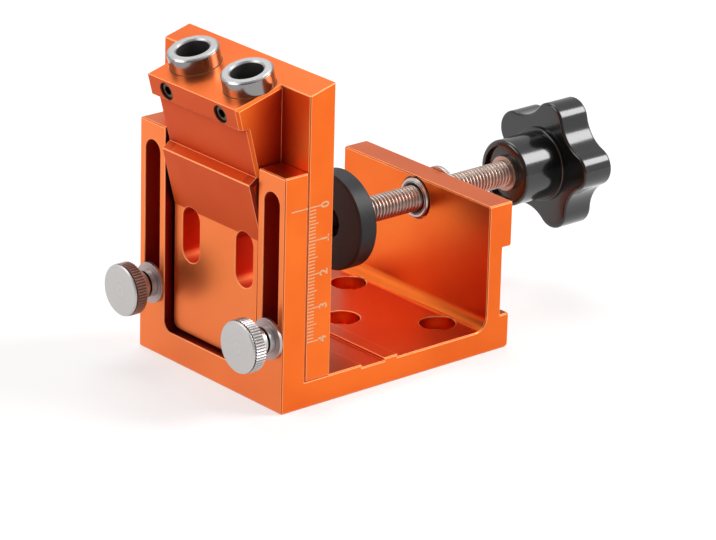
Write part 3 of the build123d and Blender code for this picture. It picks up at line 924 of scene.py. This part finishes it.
def makeKnob():
    low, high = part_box("clamp_knob")
    shape = bmesh.new()
    loops = []
    for points, along in knobRings(low.y):
        loops.append([shape.verts.new((point.x, along, point.y)) for point in points])
    for rear, front in zip(loops, loops[1:]):
        for number in range(len(rear)):
            after = (number + 1) % len(rear)
            shape.faces.new((rear[number], rear[after], front[after], front[number]))
    shape.faces.new(loops[0])
    shape.faces.new(loops[-1])
    bmesh.ops.recalc_face_normals(shape, faces=shape.faces)
    mesh = bpy.data.meshes.new("clampKnob")
    shape.to_mesh(mesh)
    shape.free()
    mesh.transform(Matrix.Translation((0, 0, rodCentre.z)))
    shadeByAngle(mesh, starKnob["sharpAngle"])
    knob = newPiece("clampKnob", mesh)
    knob.modifiers.new("normals", "WEIGHTED_NORMAL").keep_sharp = True
    freeze(knob)
    settle(knob, "clamp_screw", "knob_plastic", knobPlastic, "clamp_knob")
    print("star knob:", len(mesh.polygons), "faces")


makeKnob()


# The studio: a pale floor, a white surround, soft lamps and the camera
studio = {
    "floorSize": 4.0,
    "floorColour": (0.50, 0.50, 0.50, 1),
    "floorLift": 0.55,          # extra white on the floor for the camera and for reflections
    "floorDrop": 0.02 * mm,     # the floor lies this far under the base
    "roomLight": 0.32,
    # dimmer parts of the room: direction, how far the white holds, where it is dimmest, white left there
    "dimParts": (((0.3, -0.9, 0.2), 0.2, 0.7, 0.0), ((-0.7, 0.6, 0.45), 0.6, 0.95, 0.5)),
    "lampsAim": (0, 0.01, 0.04),
}


def seenDirectly(tree):
    path = addNode(tree, "ShaderNodeLightPath").outputs
    straight = calculate(tree, "MAXIMUM", path["Is Camera Ray"], path["Is Transmission Ray"])
    return straight, path["Is Glossy Ray"]


def makeFloor():
    material = bpy.data.materials.new("paleFloor")
    material.use_nodes = True
    tree = material.node_tree
    tree.nodes.clear()
    straight, glossy = seenDirectly(tree)
    lift = times(tree, calculate(tree, "MAXIMUM", straight, glossy), studio["floorLift"])
    matt = addNode(tree, "ShaderNodeBsdfDiffuse", {"Color": studio["floorColour"]}).outputs[0]
    glow = addNode(tree, "ShaderNodeEmission", {"Strength": lift}).outputs[0]
    both = addNode(tree, "ShaderNodeAddShader", {0: matt, 1: glow}).outputs[0]
    addNode(tree, "ShaderNodeOutputMaterial", {"Surface": both})
    mesh = bpy.data.meshes.new("floor")
    half, level = studio["floorSize"] / 2, -studio["floorDrop"]
    corners = [(-half, -half, level), (half, -half, level), (half, half, level), (-half, half, level)]
    mesh.from_pydata(corners, [], [(0, 1, 2, 3)])
    mesh.materials.append(material)
    newPiece("floor", mesh)


def makeWorld():
    world = bpy.data.worlds.new("studio")
    bpy.context.scene.world = world
    world.use_nodes = True
    tree = world.node_tree
    tree.nodes.clear()
    straight, glossy = seenDirectly(tree)
    direction = addNode(tree, "ShaderNodeTexCoord").outputs["Generated"]
    backdrop = glossy
    for towards, start, end, left in studio["dimParts"]:
        facing = addNode(tree, "ShaderNodeVectorMath", {0: direction, 1: Vector(towards).normalized()},
                         operation="DOT_PRODUCT")
        kept = remap(tree, facing.outputs["Value"], start, end, 1.0, left)
        backdrop = times(tree, backdrop, kept)
    share = calculate(tree, "MAXIMUM", straight, backdrop)

    def plainWhite(strength):
        return addNode(tree, "ShaderNodeBackground", {"Color": (1, 1, 1, 1), "Strength": strength}).outputs[0]

    room, white = plainWhite(studio["roomLight"]), plainWhite(1.0)
    mixed = addNode(tree, "ShaderNodeMixShader", {0: share, 1: room, 2: white}).outputs[0]
    addNode(tree, "ShaderNodeOutputWorld", {"Surface": mixed})


softboxes = {
    # name: direction from the object, distance, width, height, watts
    "keySoftbox": ((0.50, 0.61, 0.61), 0.9, 0.42, 0.42, 5.8),
    "topSoftbox": ((-0.45, 0.25, 0.95), 1.0, 0.7, 0.5, 3.5),
    "frontSoftbox": ((-0.35, -0.85, 0.50), 1.1, 0.6, 0.6, 5.0),
}


def makeSoftboxes():
    target = Vector(studio["lampsAim"])
    for name, (direction, distance, width, height, power) in softboxes.items():
        lamp = bpy.data.lights.new(name, "AREA")
        lamp.shape = "RECTANGLE"
        lamp.size = width
        lamp.size_y = height
        lamp.energy = power
        box = bpy.data.objects.new(name, lamp)
        bpy.context.scene.collection.objects.link(box)
        away = Vector(direction).normalized()
        box.location = target + distance * away
        box.rotation_mode = "QUATERNION"
        box.rotation_quaternion = away.to_track_quat("Z", "Y")


camera = {
    "target": (0.033 * mm, 12.329 * mm, 20.661 * mm),
    "distance": 1227.37 * mm,
    "azimuth": radians(49.255),
    "elevation": radians(21.218),
    "roll": radians(1.475),
    "lens": 212.70,
    "sensor": 36.0,
}


def makeCamera():
    azimuth, elevation, roll = camera["azimuth"], camera["elevation"], camera["roll"]
    back = Vector((sin(azimuth) * cos(elevation), -cos(azimuth) * cos(elevation), sin(elevation)))
    right = (-back).cross(Vector((0, 0, 1))).normalized()
    up = right.cross(-back)
    across = cos(roll) * right + sin(roll) * up
    upward = cos(roll) * up - sin(roll) * right
    lens = bpy.data.cameras.new("photoCamera")
    lens.lens = camera["lens"]
    lens.sensor_width = camera["sensor"]
    viewer = bpy.data.objects.new("photoCamera", lens)
    bpy.context.scene.collection.objects.link(viewer)
    turn = Matrix((across, upward, back)).transposed().to_4x4()
    place = Vector(camera["target"]) + camera["distance"] * back
    viewer.matrix_world = Matrix.Translation(place) @ turn
    bpy.context.scene.camera = viewer


makeFloor()
makeWorld()
makeSoftboxes()
makeCamera()
bpy.context.scene.view_settings.view_transform = "Standard"
print("studio made")
